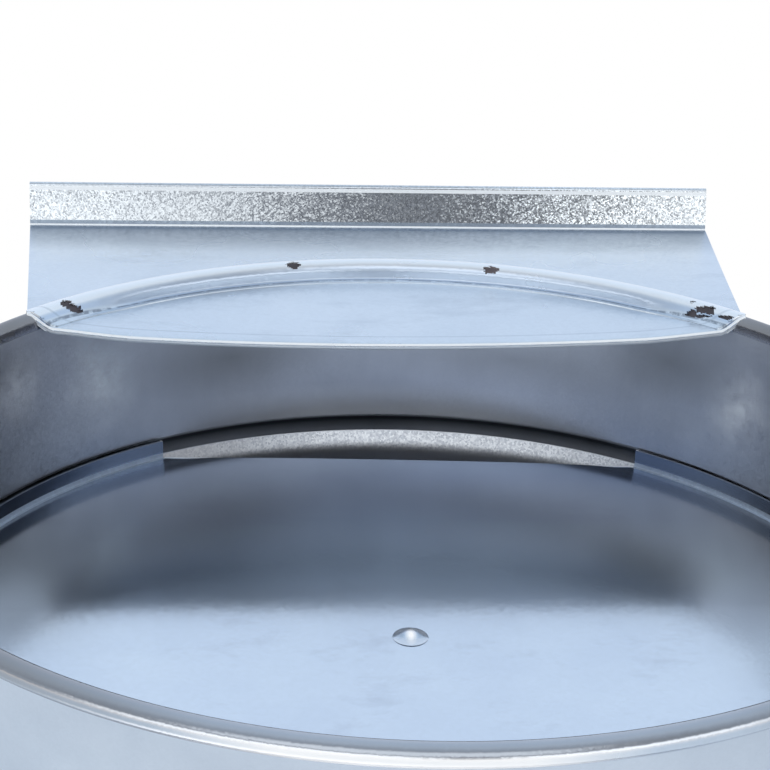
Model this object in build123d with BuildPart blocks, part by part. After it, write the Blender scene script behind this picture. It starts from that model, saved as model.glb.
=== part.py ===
"""Round galvanised tube feeder: pan, feed cone, adjustable hopper, turning gate disc and hanger plate.

Millimetres, +Z up. The origin is the centre of the pan's underside; +Y points at the hanger plate.
"""
import os
from math import asin, atan, cos, degrees, pi, radians, sin, sqrt, tan

from build123d import *

os.makedirs("parts", exist_ok=True)

# ---------------------------------------------------------------- driving sizes
sheet = 0.7                 # galvanised sheet of tube, pan, lid and plate
wire_d = 3.2                # steel wire inside the rolled rims
curl_fit = 0.1              # sheet to wire, inside a rolled rim
roll_sides = 10             # flats round the section of a rolled rim
wire_sides = 6              # flats round the section of its wire
fit_gap = 0.05              # radial clearance of screws in their holes

mouth_r = 130.0             # centreline radius of the hopper's rolled mouth
hopper_length = 300.0       # lower edge to centre of the rolled mouth
lip_depth = 47.2            # mouth centre down to the lip over the groove
groove_swell = 2.7          # how far the groove stands out past the wall
groove_shoulder = 1.2       # height of the groove's upper turn
groove_height = 5.4         # height of the groove's upright band
groove_slope = 4.7          # height of the slope back in below the band
lug_r = 3.5                 # lugs pressed in through the wall to carry the gate disc
lug_under = 2.8             # how far a lug reaches in under the gate disc
lug_round = 1.2
lug_count = 4
lug_first = 45.0            # azimuth of the first lug, from +X
hem_height = 8.0            # folded safety edge at the bottom of the tube
swage_height = 9.0          # stiffening swage round the tube
swage_swell = 2.2           # how far each swage stands out
swage_levels = (118.0, 168.0)   # swage centres above the lower edge
seam_width = 7.0            # grooved lock seam up the side of the tube
seam_rise = 1.5

trough_width = 42.0         # outside the mouth's centreline to the edge of the pan's base
pan_flare = 16.0            # how much wider the rolled rim is than the base, in radius
pan_height = 56.0           # underside of the pan to the centre of its rolled rim
pan_ring_width = 11.0       # width of the flat ring the pan stands on
pan_raise = 3.0             # how far the pan's middle is raised off the ground
raise_run = 5.0             # radial run of the slope up to the raised middle
feed_gap = 28.0             # pan floor to the tube's lower edge, at the lowest setting
lift_travel = 24.0          # height adjustment of the hopper

cone_base_r = 84.0          # feed cone, where it meets its flange
cone_flange = 13.0          # width of the cone's flange
cone_height = 66.0
cone_tip_r = 7.0
cone_rivets_count = 4

bracket_count = 3
bracket_first = 270.0       # azimuth of the first bracket, from +X
bracket_width = 24.0
bracket_sheet = 1.5
bracket_rise = 127.0        # top of the strap above the pan floor
foot_clear = 1.6            # end of the foot to the slope round the raised middle
bracket_gap = 0.35          # folded hem of the tube to the strap
bolt_d = 5.0
bolt_height = 88.0          # screw above the pan floor, at the lowest setting
bolt_head_r = 5.0
bolt_head_h = 2.4
bolt_end = 9.5              # free thread past the outer washer
washer_r = 6.5
washer_sheet = 1.0
flat_gap = 0.05             # between flat faces that slide on each other
nut_gap = 0.15              # wing nut to its washer
nut_r = 5.0
nut_height = 5.0
wing_span = 13.0            # screw axis to the tip of a wing
wing_rise = 9.0             # wing tip above the nut's seat
wing_sheet = 2.2

rivet_d = 4.0
rivet_head_r = 4.0
rivet_head_h = 1.6
rivet_shop_r = 3.2
rivet_shop_h = 1.2
head_sides = 12             # flats round a small rivet head
dome_share = 0.6            # sloped part of a rivet head, as a share of its height

gate_clear = 1.0            # wall to the gate disc's turned-up collar
gate_depth = 52.8           # mouth centre down to the disc's floor
gate_collar = 5.4           # height of the collar above the disc's floor
gate_corner = 1.3           # bend between floor and collar
gate_notch = 23.4           # depth of the segment cut away along the straight edge
gate_rest_turn = -1.9       # how the disc happens to lie, turned from square
gate_rivet_r = 4.4
gate_rivet_h = 2.3
gate_washer_r = 9.0
gate_washer_sheet = 1.0

plate_front_half = 101.0    # hanger plate: half width at its front corners
plate_corner_in = 0.5       # front corners, inside the mouth's centreline
plate_rear_half = 110.0     # half width at the upstand
plate_overhang = 38.0       # bend line of the upstand, behind the mouth's centreline
plate_lift = 0.25           # plate's underside above the mouth's centreline
ridge_fit = 0.15            # pressed ridge to the rolled mouth under it
tongue_step = 3.0           # inside the mouth the plate lies this much lower
tongue_slope = 0.08         # and falls this much per millimetre towards its front edge
upstand_height = 12.6
upstand_lean = 14.0         # degrees back from upright
upstand_hem_r = 1.1
hem_gap = 0.02              # front hem, folded back under the tongue
hem_width = 4.6
pierce_width = 3.2          # clinches pierced through the ridge
pierce_length = 4.2
pierce_middle = (-12.9, 13.6)   # azimuth of the middle clinches, from +Y
pierce_corners = (8.1, 9.7)     # outer clinches, left and right, in from the plate's front corners
slot_corner = 2.3           # slot beside the right clinch, in from the corner
slot_length = 5.0
slot_width = 1.6

# ---------------------------------------------------------------- worked out
wire_r = wire_d / 2
curl_in = wire_r + curl_fit
curl_out = curl_in + sheet
pan_floor = pan_raise + sheet
edge_z = pan_floor + feed_gap
mouth_z = edge_z + hopper_length
wall_r = mouth_r - curl_out
lip_z = mouth_z - lip_depth
groove_r = wall_r + groove_swell
groove_top = lip_z - groove_shoulder
crease_z = groove_top - groove_height
groove_foot = crease_z - groove_slope
wall_out = wall_r + sheet
gate_r = wall_r - gate_clear
gate_cut = gate_r - gate_notch
lug_reach = gate_clear + lug_under
bolt_z = pan_floor + bolt_height
bolt_r = bolt_d / 2
strap_in = wall_out + sheet + bracket_gap
strap_out = strap_in + bracket_sheet
strap_top = pan_floor + bracket_rise
washer_out = strap_out + flat_gap + washer_sheet
nut_seat = washer_out + nut_gap
pan_base_r = mouth_r + trough_width
pan_rim_r = pan_base_r + pan_flare
raised_r = pan_base_r - pan_ring_width - raise_run
bracket_foot = raised_r - foot_clear - strap_in
gate_floor = mouth_z - gate_depth
gate_low = gate_floor - sheet
plate_front_y = sqrt((mouth_r - plate_corner_in) ** 2 - plate_front_half ** 2)
plate_rear_y = mouth_r + plate_overhang
pierce_angles = [-degrees(asin((plate_front_half - pierce_corners[0]) / mouth_r)), *pierce_middle,
                 degrees(asin((plate_front_half - pierce_corners[1]) / mouth_r))]
slot_angle = degrees(asin((plate_front_half - slot_corner) / mouth_r))
plate_low = mouth_z + plate_lift
plate_top = plate_low + sheet
ridge_in = curl_out + ridge_fit
ridge_out = ridge_in + sheet
tongue_r = mouth_r - ridge_in
tongue_rim = plate_top - tongue_step
tongue_bend_r = (tongue_r + plate_front_y) / (2 * tongue_slope)
lug_z = gate_low - flat_gap - lug_r
bracket_angles = [bracket_first + 360.0 / bracket_count * i for i in range(bracket_count)]
bolt_tip = washer_out + bolt_end
rivet_r = rivet_d / 2


def radial_plane(angle, radius, height):
    """Plane facing outwards: local x runs sideways, local y runs up."""
    a = radians(angle)
    origin = (radius * cos(a), radius * sin(a), height)
    return Plane(origin=origin, x_dir=(-sin(a), cos(a), 0), z_dir=(cos(a), sin(a), 0))


def skin(points):
    """Closed section of a sheet whose inner face follows points, in the radial plane."""
    outer = [(r + sheet, z) for r, z in reversed(points)]
    with BuildSketch(Plane.XZ, mode=Mode.PRIVATE) as section:
        with BuildLine():
            Polyline(*points, *outer, close=True)
        make_face()
    return section.sketch


def curl(centre_r, centre_z):
    """Section of a sheet rolled outwards over a wire, open below where it leaves the wall."""
    opening = curl_out * 1.6
    slant = opening * 0.35
    flat_share = cos(pi / roll_sides)
    with BuildSketch(Plane.XZ, mode=Mode.PRIVATE) as section:
        with Locations((centre_r, centre_z)):
            RegularPolygon(curl_out / flat_share, roll_sides, rotation=180 / roll_sides)
            RegularPolygon(curl_in / flat_share, roll_sides, rotation=180 / roll_sides, mode=Mode.SUBTRACT)
        with BuildLine():
            Polyline((centre_r - curl_in, centre_z), (centre_r, centre_z),
                     (centre_r - slant, centre_z - opening), (centre_r - curl_in, centre_z - opening),
                     close=True)
        make_face(mode=Mode.SUBTRACT)
    return section.sketch


def finish(part, name):
    """Label a piece and write its STEP file."""
    part.label = name
    export_step(part, f"parts/{name}.step")
    print(f"{name}: {part.volume:.0f} mm3")


# ---------------------------------------------------------------- feed pan
def make_feed_pan():
    """Pan with a raised middle, a standing ring, a flared wall and a rolled rim."""
    ring_in = pan_base_r - pan_ring_width
    wall_top = pan_rim_r - curl_out
    floor_points = [(0, pan_raise), (raised_r, pan_raise), (ring_in, 0), (pan_base_r, 0)]
    upper = [(pan_base_r - sheet, sheet), (ring_in + sheet, sheet), (raised_r, pan_floor), (0, pan_floor)]
    with BuildPart() as feed_pan:
        with BuildSketch(Plane.XZ):
            with BuildLine():
                Polyline(*floor_points, *upper, close=True)
            make_face()
        with BuildSketch(Plane.XZ):
            add(skin([(pan_base_r - sheet, 0), (pan_base_r - sheet, sheet), (wall_top, pan_height)]))
        with BuildSketch(Plane.XZ):
            add(curl(pan_rim_r, pan_height))
        revolve(axis=Axis.Z)
        with PolarLocations(cone_base_r + cone_flange / 2, cone_rivets_count, start_angle=45):
            with Locations((0, 0, pan_floor)):
                Hole(rivet_r + fit_gap, depth=2 * sheet)
        for angle in bracket_angles:
            with Locations(*foot_holes(angle)):
                Hole(rivet_r + fit_gap, depth=2 * sheet)
    return feed_pan.part


def foot_holes(angle):
    """Where a bracket's two rivets stand on the pan floor."""
    a = radians(angle)
    side = bracket_width / 4
    radius = strap_in + bracket_foot * 0.62
    spots = []
    for offset in (-side, side):
        x = radius * cos(a) - offset * sin(a)
        y = radius * sin(a) + offset * cos(a)
        spots.append(Location((x, y, pan_floor)))
    return spots


def make_ring_wire(centre_r, centre_z):
    """Wire hoop inside a rolled rim."""
    with BuildPart() as ring:
        with BuildSketch(Plane.XZ):
            with Locations((centre_r, centre_z)):
                RegularPolygon(wire_r, wire_sides)
        revolve(axis=Axis.Z)
    return ring.part


# ---------------------------------------------------------------- feed cone
def make_feed_cone():
    """Pressed cone that spreads the feed, with a flange for its rivets."""
    base = pan_floor
    flange_r = cone_base_r + cone_flange
    top = base + cone_height
    with BuildPart() as cone:
        with BuildSketch(Plane.XZ):
            with BuildLine():
                Polyline((0, top), (cone_tip_r, top), (cone_base_r, base + sheet),
                         (flange_r, base + sheet), (flange_r, base), (cone_base_r - sheet, base),
                         (cone_tip_r - sheet, top - sheet), (0, top - sheet), close=True)
            make_face()
        revolve(axis=Axis.Z)
        with PolarLocations(cone_base_r + cone_flange / 2, cone_rivets_count, start_angle=45):
            with Locations((0, 0, base + sheet)):
                Hole(rivet_r + fit_gap, depth=2 * sheet)
    return cone.part


def make_rivet(x, y, seat, grip):
    """Rivet with a sloped head that seats at a height, through a stack of grip thickness."""
    slope = rivet_head_h * dome_share
    with BuildPart(mode=Mode.PRIVATE) as rivet:
        with BuildSketch(Plane.XY.offset(seat)):
            with Locations((x, y)):
                RegularPolygon(rivet_head_r, head_sides)
        extrude(amount=rivet_head_h - slope)
        with BuildSketch(Plane.XY.offset(seat + rivet_head_h - slope)):
            with Locations((x, y)):
                RegularPolygon(rivet_head_r, head_sides)
        extrude(amount=slope, taper=45)
        with BuildSketch(Plane.XY.offset(seat - grip)):
            with Locations((x, y)):
                Circle(rivet_r)
        extrude(amount=grip)
        with BuildSketch(Plane.XY.offset(seat - grip)):
            with Locations((x, y)):
                RegularPolygon(rivet_shop_r, head_sides)
        extrude(amount=-rivet_shop_h)
    return rivet.part


def dome_heads(part, top, height):
    """Slope the rim of every rivet head whose top lies at a height."""
    rims = part.edges().filter_by(GeomType.CIRCLE).filter_by(lambda e: abs(e.center().Z - top) < 0.01)
    chamfer(rims, height * dome_share)


def make_cone_rivets():
    """Four rivets through the cone's flange and the raised pan floor."""
    radius = cone_base_r + cone_flange / 2
    with BuildPart() as rivets:
        for i in range(cone_rivets_count):
            a = radians(45 + 360 / cone_rivets_count * i)
            add(make_rivet(radius * cos(a), radius * sin(a), pan_floor + sheet, 2 * sheet))
    return rivets.part


# ---------------------------------------------------------------- brackets
def make_bracket(angle):
    """Bent strap: a foot on the pan floor and an upright with a slot for the clamp screw."""
    foot_low = pan_floor
    foot_end = strap_in + bracket_foot
    slot_low = bolt_z - bolt_r - fit_gap
    slot_high = bolt_z + lift_travel + bolt_r + fit_gap
    slot_mid = (slot_low + slot_high) / 2
    with BuildPart() as bracket:
        with BuildSketch(radial_plane(angle, strap_in, 0)):
            with Locations((0, (foot_low + strap_top) / 2)):
                Rectangle(bracket_width, strap_top - foot_low)
            with Locations((0, slot_mid)):
                SlotOverall(slot_high - slot_low, bolt_d + 2 * fit_gap, rotation=90, mode=Mode.SUBTRACT)
        extrude(amount=bracket_sheet)
        top_corners = bracket.edges().filter_by(lambda e: e.center().Z > strap_top - 0.01)
        top_corners = top_corners.filter_by(lambda e: e.length < bracket_sheet + 0.01)
        fillet(top_corners, bracket_width * 0.3)
        with BuildSketch(Plane.XY.offset(foot_low)) as foot:
            with Locations(Location((0, 0, 0), (0, 0, angle))):
                with Locations(((strap_in + foot_end) / 2, 0)):
                    Rectangle(bracket_foot, bracket_width)
        extrude(amount=bracket_sheet)
        for spot in foot_holes(angle):
            with Locations(Location((spot.position.X, spot.position.Y, foot_low + bracket_sheet))):
                Hole(rivet_r + fit_gap, depth=2 * bracket_sheet)
    return bracket.part


def make_bracket_rivets():
    """Two rivets through each bracket foot and the pan floor."""
    with BuildPart() as rivets:
        for angle in bracket_angles:
            for spot in foot_holes(angle):
                add(make_rivet(spot.position.X, spot.position.Y, pan_floor + bracket_sheet, bracket_sheet + sheet))
    return rivets.part


# ---------------------------------------------------------------- hopper
def tube_points():
    """Inner face of the tube from its lower edge up to the rolled mouth."""
    points = [(wall_r, edge_z)]
    for level in swage_levels:
        centre = edge_z + level
        points.append((wall_r, centre - swage_height / 2))
        points.append((wall_r + swage_swell, centre - swage_height / 6))
        points.append((wall_r + swage_swell, centre + swage_height / 6))
        points.append((wall_r, centre + swage_height / 2))
    points += [(wall_r, groove_foot), (groove_r, crease_z), (groove_r, groove_top),
               (wall_r, lip_z), (wall_r, mouth_z)]
    return points


def make_lug(angle):
    """Round lug standing in from the wall, trimmed to the slope of the groove behind it."""
    middle = sheet / 2
    with BuildPart() as lug:
        with BuildSketch(radial_plane(angle, groove_r, lug_z)):
            Circle(lug_r)
        extrude(amount=-lug_reach - groove_swell)
        tip = lug.faces().filter_by(GeomType.PLANE).sort_by(lambda f: f.center().X ** 2 + f.center().Y ** 2)[0]
        chamfer(tip.edges(), lug_round)
        with BuildSketch(Plane.XZ):
            with BuildLine():
                Polyline((0, lug_z - 2 * lug_r), (wall_r + middle, lug_z - 2 * lug_r),
                         (wall_r + middle, groove_foot), (groove_r + middle, crease_z),
                         (groove_r + middle, groove_top), (0, groove_top), close=True)
            make_face()
        revolve(axis=Axis.Z, mode=Mode.INTERSECT)
    return lug.part


def make_hopper_tube():
    """Tube with stiffening swages, a groove and lugs for the gate disc, and a rolled mouth."""
    lug_angles = [lug_first + 360.0 / lug_count * i for i in range(lug_count)]
    with BuildPart() as hopper_tube:
        with BuildSketch(Plane.XZ):
            add(skin(tube_points()))
        with BuildSketch(Plane.XZ):
            with BuildLine():
                Polyline((wall_out, edge_z), (wall_out + sheet, edge_z),
                         (wall_out + sheet, edge_z + hem_height), (wall_out, edge_z + hem_height), close=True)
            make_face()
        with BuildSketch(Plane.XZ):
            add(curl(mouth_r, mouth_z))
        revolve(axis=Axis.Z)
        # grooved lock seam up the outside
        seam_low = edge_z + hem_height
        seam_high = groove_foot - seam_rise
        with BuildSketch(Plane.XY.offset(seam_low)):
            with Locations((wall_out + seam_rise / 2, 0)):
                Rectangle(seam_rise + sheet, seam_width)
        extrude(amount=seam_high - seam_low)
        # hollow lugs pressed inwards under the gate disc
        for angle in lug_angles:
            add(make_lug(angle))
        for angle in lug_angles:
            with BuildSketch(radial_plane(angle, groove_r + 2 * sheet, lug_z)):
                Circle(lug_r - sheet)
            extrude(amount=-lug_reach - groove_swell - sheet, mode=Mode.SUBTRACT)
        for angle in bracket_angles:
            with BuildSketch(radial_plane(angle, wall_r - sheet, bolt_z)):
                Circle(bolt_r + fit_gap)
            extrude(amount=3 * sheet, mode=Mode.SUBTRACT)
    return hopper_tube.part


def make_clamp_screws():
    """Three pan-head screws pushed out through the tube, one at each bracket."""
    seat = sqrt(wall_r ** 2 - bolt_head_r ** 2) - flat_gap
    with BuildPart() as screws:
        for angle in bracket_angles:
            with BuildSketch(radial_plane(angle, seat, bolt_z)):
                Circle(bolt_head_r)
            extrude(amount=-bolt_head_h, taper=12)
            with BuildSketch(radial_plane(angle, seat, bolt_z)):
                Circle(bolt_r)
            extrude(amount=bolt_tip - seat)
    return screws.part


def make_washers(inner, thickness):
    """Three plain washers that lie against a flat at the given radius."""
    with BuildPart() as washers:
        for angle in bracket_angles:
            with BuildSketch(radial_plane(angle, inner, bolt_z)):
                Circle(washer_r)
                Circle(bolt_r + fit_gap, mode=Mode.SUBTRACT)
            extrude(amount=thickness)
    return washers.part


def make_wing_nut(angle):
    """Wing nut: a tapered hub with two raised wings."""
    face = radial_plane(angle, nut_seat, bolt_z)
    across = Plane(origin=face.origin, x_dir=face.x_dir, z_dir=-face.y_dir)
    with BuildPart() as nut:
        with BuildSketch(face):
            Circle(nut_r)
        extrude(amount=nut_height, taper=8)
        with BuildSketch(across):
            for side in (-1, 1):
                with BuildLine():
                    Polyline((side * nut_r * 0.4, 0.6), (side * nut_r * 0.9, 0.6),
                             (side * wing_span, wing_rise * 0.55), (side * wing_span, wing_rise),
                             (side * wing_span * 0.72, wing_rise), (side * nut_r * 0.4, nut_height - 0.4),
                             close=True)
                make_face()
        extrude(amount=wing_sheet / 2, both=True)
        with BuildSketch(face):
            Circle(bolt_r + fit_gap)
        extrude(amount=nut_height + wing_rise, mode=Mode.SUBTRACT)
    return nut.part


# ---------------------------------------------------------------- gate disc
def make_gate_disc():
    """Round disc with a turned-up collar and one straight edge, which leaves the filling gap."""
    top = gate_floor + gate_collar
    inner = gate_r - sheet
    with BuildPart() as gate:
        with BuildSketch(Plane.XZ):
            with BuildLine():
                Polyline((0, gate_low), (gate_r - gate_corner, gate_low), (gate_r, gate_low + gate_corner),
                         (gate_r, top), (inner, top), (inner, gate_floor + gate_corner - sheet / 2),
                         (inner - gate_corner + sheet / 2, gate_floor), (0, gate_floor), close=True)
            make_face()
        revolve(axis=Axis.Z)
        cut_plane = Plane(origin=(0, 0, gate_low), z_dir=(0, 0, 1)).rotated((0, 0, gate_rest_turn))
        with BuildSketch(cut_plane):
            with Locations((0, gate_cut + gate_r / 2)):
                Rectangle(2 * gate_r, gate_r)
        extrude(amount=gate_collar + sheet, mode=Mode.SUBTRACT)
        with Locations((0, 0, gate_floor)):
            Hole(rivet_r + fit_gap, depth=2 * sheet)
    return gate.part


def make_gate_rivet():
    """Domed rivet at the disc's centre, clenched over a backing washer."""
    low = gate_low - gate_washer_sheet
    with BuildPart() as rivet:
        with Locations((0, 0, gate_floor)):
            Cylinder(gate_rivet_r, gate_rivet_h, align=(Align.CENTER, Align.CENTER, Align.MIN))
            Cylinder(rivet_r, gate_floor - low, align=(Align.CENTER, Align.CENTER, Align.MAX))
        with Locations((0, 0, low)):
            Cylinder(rivet_shop_r, rivet_shop_h, align=(Align.CENTER, Align.CENTER, Align.MAX))
        dome_heads(rivet, gate_floor + gate_rivet_h, gate_rivet_h)
    return rivet.part


def make_gate_washer():
    """Backing washer under the disc."""
    with BuildPart() as washer:
        with BuildSketch(Plane.XY.offset(gate_low - gate_washer_sheet)):
            Circle(gate_washer_r)
            Circle(rivet_r + fit_gap, mode=Mode.SUBTRACT)
        extrude(amount=gate_washer_sheet)
    return washer.part


# ---------------------------------------------------------------- hanger plate
def plate_outline():
    """Plan of the plate: straight front edge, sides that spread towards the rear."""
    with BuildLine(mode=Mode.PRIVATE) as outline:
        Polyline((-plate_front_half, plate_front_y), (plate_front_half, plate_front_y),
                 (plate_rear_half, plate_rear_y), (-plate_rear_half, plate_rear_y), close=True)
    return outline.line


def make_ridge():
    """Half-round ridge over the rolled mouth, with a flank down to the tongue inside."""
    flank = tongue_step + plate_lift
    with BuildPart() as ridge:
        with BuildSketch(Plane.XZ):
            with Locations((mouth_r, mouth_z)):
                Circle(ridge_out)
                Circle(ridge_in, mode=Mode.SUBTRACT)
            with Locations((mouth_r + ridge_out / 2, plate_low - ridge_out),
                           (mouth_r - ridge_out / 2, mouth_z - ridge_out)):
                Rectangle(ridge_out, 2 * ridge_out, mode=Mode.SUBTRACT)
            with Locations((tongue_r - sheet / 2, mouth_z - flank / 2)):
                Rectangle(sheet, flank)
        revolve(axis=Axis.Z)
        with BuildSketch(Plane.XY.offset(mouth_z - flank)):
            add(plate_outline())
            make_face()
        extrude(amount=flank + ridge_out, mode=Mode.INTERSECT)
    return ridge.part


def make_tongue(upper, lower, depth, reach):
    """Curved sheet inside the mouth: two levels below its top, depth from its edge, reach from the axis."""
    lean = atan(tongue_slope)
    start = 3.0
    side = plate_front_half + start
    forward = (0, -cos(lean), -sin(lean))
    foot = (0, tongue_r + start * cos(lean), tongue_rim + start * sin(lean))

    def level(below):
        end = tongue_bend_r - sqrt((tongue_bend_r + below) ** 2 - side ** 2)
        return (-side, end), (0, -below), (side, end)

    with BuildPart() as tongue:
        with BuildSketch(Plane(origin=foot, x_dir=(1, 0, 0), z_dir=forward)):
            with BuildLine():
                ThreePointArc(*level(upper))
                ThreePointArc(*level(lower))
                Line(level(upper)[0], level(lower)[0])
                Line(level(upper)[2], level(lower)[2])
            make_face()
        extrude(amount=tongue_r - plate_front_y + 3 * start)
        with BuildSketch(Plane.XY.offset(mouth_z - 20)):
            add(plate_outline())
            make_face()
            Circle(reach, mode=Mode.INTERSECT)
            with Locations((0, plate_front_y + depth / 2)):
                Rectangle(3 * plate_front_half, depth, mode=Mode.INTERSECT)
        extrude(amount=30, mode=Mode.INTERSECT)
    return tongue.part


def make_hanger_plate():
    """Plate pressed over the rolled mouth: ridge, sagging tongue inside, upstand behind."""
    lean = radians(upstand_lean)
    with BuildPart() as plate:
        # flat of the plate, outside the mouth
        with BuildSketch(Plane.XY.offset(plate_low)):
            add(plate_outline())
            make_face()
            Circle(mouth_r + curl_in, mode=Mode.SUBTRACT)
        extrude(amount=sheet)
        # tunnel for the rolled mouth
        with BuildSketch(Plane.XZ):
            with Locations((mouth_r, mouth_z)):
                Circle(ridge_in)
        revolve(axis=Axis.Z, mode=Mode.SUBTRACT)
        add(make_ridge())
        add(make_tongue(0, sheet, tongue_r - plate_front_y, tongue_r))
        # upstand with its folded top
        top_y = plate_rear_y + upstand_height * tan(lean)
        top_z = plate_low + upstand_height
        with BuildSketch(Plane.YZ.offset(-plate_rear_half)):
            with BuildLine():
                Polyline((plate_rear_y - sheet, plate_low), (plate_rear_y, plate_low), (top_y, top_z),
                         (top_y - sheet, top_z), close=True)
            make_face()
            with Locations((top_y + upstand_hem_r - sheet, top_z)):
                Circle(upstand_hem_r)
        extrude(amount=2 * plate_rear_half)
        # clinches pierced through the ridge, and the slot beside the last
        for angle in pierce_angles:
            with BuildSketch(Plane.XY.offset(mouth_z + curl_out * 0.5)):
                with Locations(Location((mouth_r * sin(radians(angle)), mouth_r * cos(radians(angle)), 0),
                                        (0, 0, -angle))):
                    with BuildLine():
                        Polyline((-pierce_length / 2, 0), (0, -pierce_width / 2), (pierce_length / 2, 0),
                                 (0, pierce_width / 2), close=True)
                    make_face()
            extrude(amount=ridge_out, mode=Mode.SUBTRACT)
        with BuildSketch(Plane.XY.offset(mouth_z + curl_out * 0.5)):
            with Locations(Location((mouth_r * sin(radians(slot_angle)), mouth_r * cos(radians(slot_angle)), 0),
                                    (0, 0, -slot_angle))):
                SlotOverall(slot_length, slot_width)
        extrude(amount=ridge_out, mode=Mode.SUBTRACT)
    return plate.part


def make_plate_hem():
    """Front hem of the plate, folded back flat under the tongue."""
    return make_tongue(sheet + hem_gap, 2 * sheet + hem_gap, hem_width, mouth_r - ridge_out - hem_gap)


# ---------------------------------------------------------------- make and write every piece
finish(make_feed_pan(), "feed_pan")
finish(make_ring_wire(pan_rim_r, pan_height), "pan_rim_wire")
finish(make_feed_cone(), "feed_cone")
finish(make_cone_rivets(), "cone_rivets")
for number, bracket_angle in enumerate(bracket_angles, start=1):
    finish(make_bracket(bracket_angle), f"bracket_{number}")
    finish(make_wing_nut(bracket_angle), f"wing_nut_{number}")
finish(make_bracket_rivets(), "bracket_rivets")
finish(make_hopper_tube(), "hopper_tube")
finish(make_ring_wire(mouth_r, mouth_z), "mouth_wire")
finish(make_clamp_screws(), "clamp_screws")
finish(make_washers(wall_out, strap_in - wall_out - flat_gap), "spacer_washers")
finish(make_washers(strap_out + flat_gap, washer_sheet), "outer_washers")
finish(make_gate_disc(), "gate_disc")
finish(make_gate_rivet(), "gate_rivet")
finish(make_gate_washer(), "gate_washer")
finish(make_hanger_plate(), "hanger_plate")
finish(make_plate_hem(), "plate_hem")
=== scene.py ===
"""Looks for the round galvanised poultry feeder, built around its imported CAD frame."""
import math
import random

import bmesh
import bpy
from mathutils import Matrix, Vector


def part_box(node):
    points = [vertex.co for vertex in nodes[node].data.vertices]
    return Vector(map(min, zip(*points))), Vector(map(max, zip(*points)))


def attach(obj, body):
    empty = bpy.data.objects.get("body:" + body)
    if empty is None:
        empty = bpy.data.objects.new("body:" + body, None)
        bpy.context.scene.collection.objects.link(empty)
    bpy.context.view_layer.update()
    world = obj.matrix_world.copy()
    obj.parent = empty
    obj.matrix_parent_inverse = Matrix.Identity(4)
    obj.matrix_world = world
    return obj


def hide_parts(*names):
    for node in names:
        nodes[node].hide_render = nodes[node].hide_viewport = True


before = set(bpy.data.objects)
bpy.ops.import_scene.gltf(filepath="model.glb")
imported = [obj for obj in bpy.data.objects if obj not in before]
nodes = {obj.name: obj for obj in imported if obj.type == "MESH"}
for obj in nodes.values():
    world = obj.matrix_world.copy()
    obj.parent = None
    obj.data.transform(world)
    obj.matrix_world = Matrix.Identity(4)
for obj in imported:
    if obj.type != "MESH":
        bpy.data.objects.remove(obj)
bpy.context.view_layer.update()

# ---- sizes, metres
MM = 0.001
TURNS = 256                     # segments round a turned piece
LONGEST_RUN = 9.0 * MM          # longest straight step up a turned section
SPECK = 1e-7                    # radius that stands for the axis

SHEET = 0.7 * MM
HALF = SHEET / 2
CURL_FIT = 0.1 * MM             # sheet to wire, inside a rolled rim
wire_lo, wire_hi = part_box("mouth_wire")
wire_r = 1.6 * MM
mouth_r = wire_hi.x - wire_r
mouth_z = (wire_hi.z + wire_lo.z) / 2
curl_in = wire_r + CURL_FIT
curl_out = curl_in + SHEET
wall_r = mouth_r - curl_out
edge_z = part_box("hopper_tube")[0].z

LIP_DEPTH = 47.2 * MM
GROOVE_SWELL = 2.7 * MM
GROOVE_SHOULDER = 1.2 * MM
GROOVE_HEIGHT = 5.4 * MM
GROOVE_SLOPE = 4.7 * MM
LUG_R = 3.5 * MM
LUG_REACH = 3.8 * MM
LUG_ANGLES = (45, 135, 225, 315)
HEM_HEIGHT = 8.0 * MM
SWAGE_HEIGHT = 9.0 * MM
SWAGE_SWELL = 2.2 * MM
SWAGE_LEVELS = (118.0 * MM, 168.0 * MM)
SEAM_WIDTH = 7.0 * MM
SEAM_RISE = 1.5 * MM
lip_z = mouth_z - LIP_DEPTH
groove_r = wall_r + GROOVE_SWELL
groove_top = lip_z - GROOVE_SHOULDER
crease_z = groove_top - GROOVE_HEIGHT
groove_foot = crease_z - GROOVE_SLOPE

GATE_COLLAR = 5.4 * MM
GATE_CORNER = 1.3 * MM
GATE_SAG = 1.1 * MM
GATE_WASHER = 1.0 * MM
GATE_CUT = 103.6 * MM
GATE_TURN = math.radians(-2.9)
GATE_R = 126.6 * MM
GATE_SHIFT = 0.5 * MM
gate_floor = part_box("gate_disc")[1].z - GATE_COLLAR
lug_z = gate_floor - SHEET - LUG_R - 0.05 * MM

HEAD_R = 4.6 * MM
HEAD_DOME = 1.6 * MM
HEAD_SEAT = 0.03 * MM           # how far the head's edge sinks below the disc
SHANK_R = 2.0 * MM
CLENCH_R = 3.2 * MM
CLENCH_DEPTH = 1.2 * MM

PLATE_FRONT_HALF = 101.0 * MM
PLATE_FRONT_Y = 81.05 * MM
PLATE_REAR_HALF = 110.0 * MM
PLATE_REAR_Y = 168.0 * MM
PLATE_LIFT = 0.25 * MM
REAR_LIFT = 0.8 * MM
CORNER_LIFT = 1.2 * MM
HEM_DROP = 1.4 * MM
TONGUE_STEP = 3.0 * MM
TONGUE_SLOPE = 0.08
RIDGE_FIT = 0.15 * MM
RIDGE_LEAD = 3.0 * MM           # flat run of the tongue before the ridge rises
PLATE_BEND = 0.9 * MM
HEM_WIDTH = 4.6 * MM
UPSTAND_HEIGHT = 12.6 * MM
UPSTAND_LEAN = math.radians(14.0)
UPSTAND_ROLL = 1.1 * MM
UPSTAND_LEAD = 3.0 * MM         # flat run before the upstand's bend
UPSTAND_TAIL = 4.0 * MM         # how far the rolled top comes down again
plate_mid = mouth_z + PLATE_LIFT + HALF
ridge_mid = curl_out + RIDGE_FIT + HALF
flank_r = mouth_r - ridge_mid
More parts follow.
